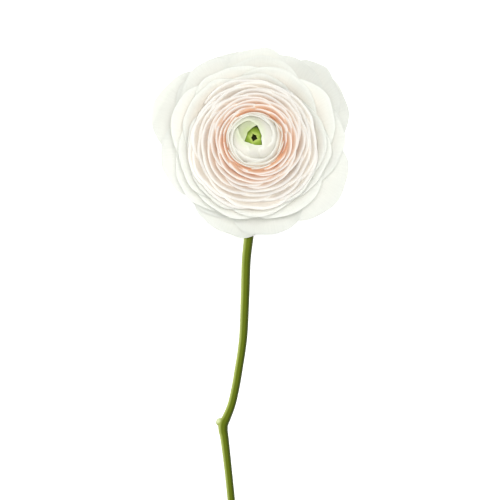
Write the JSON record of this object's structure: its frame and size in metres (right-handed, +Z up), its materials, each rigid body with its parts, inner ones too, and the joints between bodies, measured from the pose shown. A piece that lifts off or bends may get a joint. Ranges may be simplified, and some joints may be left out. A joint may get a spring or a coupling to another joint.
{
  "type": "ranunculus flower",
  "caption": "Cut ranunculus lying down: a full ivory bloom of nested petals that blush peach round a cream heart with a small green eye, on a gently curved green stem.",
  "frame": {"origin": "middle of the bounding box's underside, on the surface that the flower lies on", "axes": "+Z up from the surface, where the bloom faces; +Y from the stem's cut end towards the bloom; +X to the right as the bloom is seen from above with its stem towards the viewer"},
  "size_m": [0.0774, 0.197, 0.0363],
  "materials": {
    "ivory_petal": null,
    "blush_petal": "matte ivory petal blushing to peach towards its base",
    "cream_petal": "satin cream petal",
    "green_petal": "satin fresh green",
    "carpel": "matte near-black green; plastic stands in for plant tissue",
    "sepal": "matte mid green",
    "stalk": null
  },
  "bodies": {
    "root": {"outer_petals": "ivory_petal", "blush_petals": "blush_petal", "heart_petals": "cream_petal", "eye_petals": "green_petal", "carpels": "carpel", "calyx": "sepal", "stem": "stalk"}
  },
  "joints": []
}
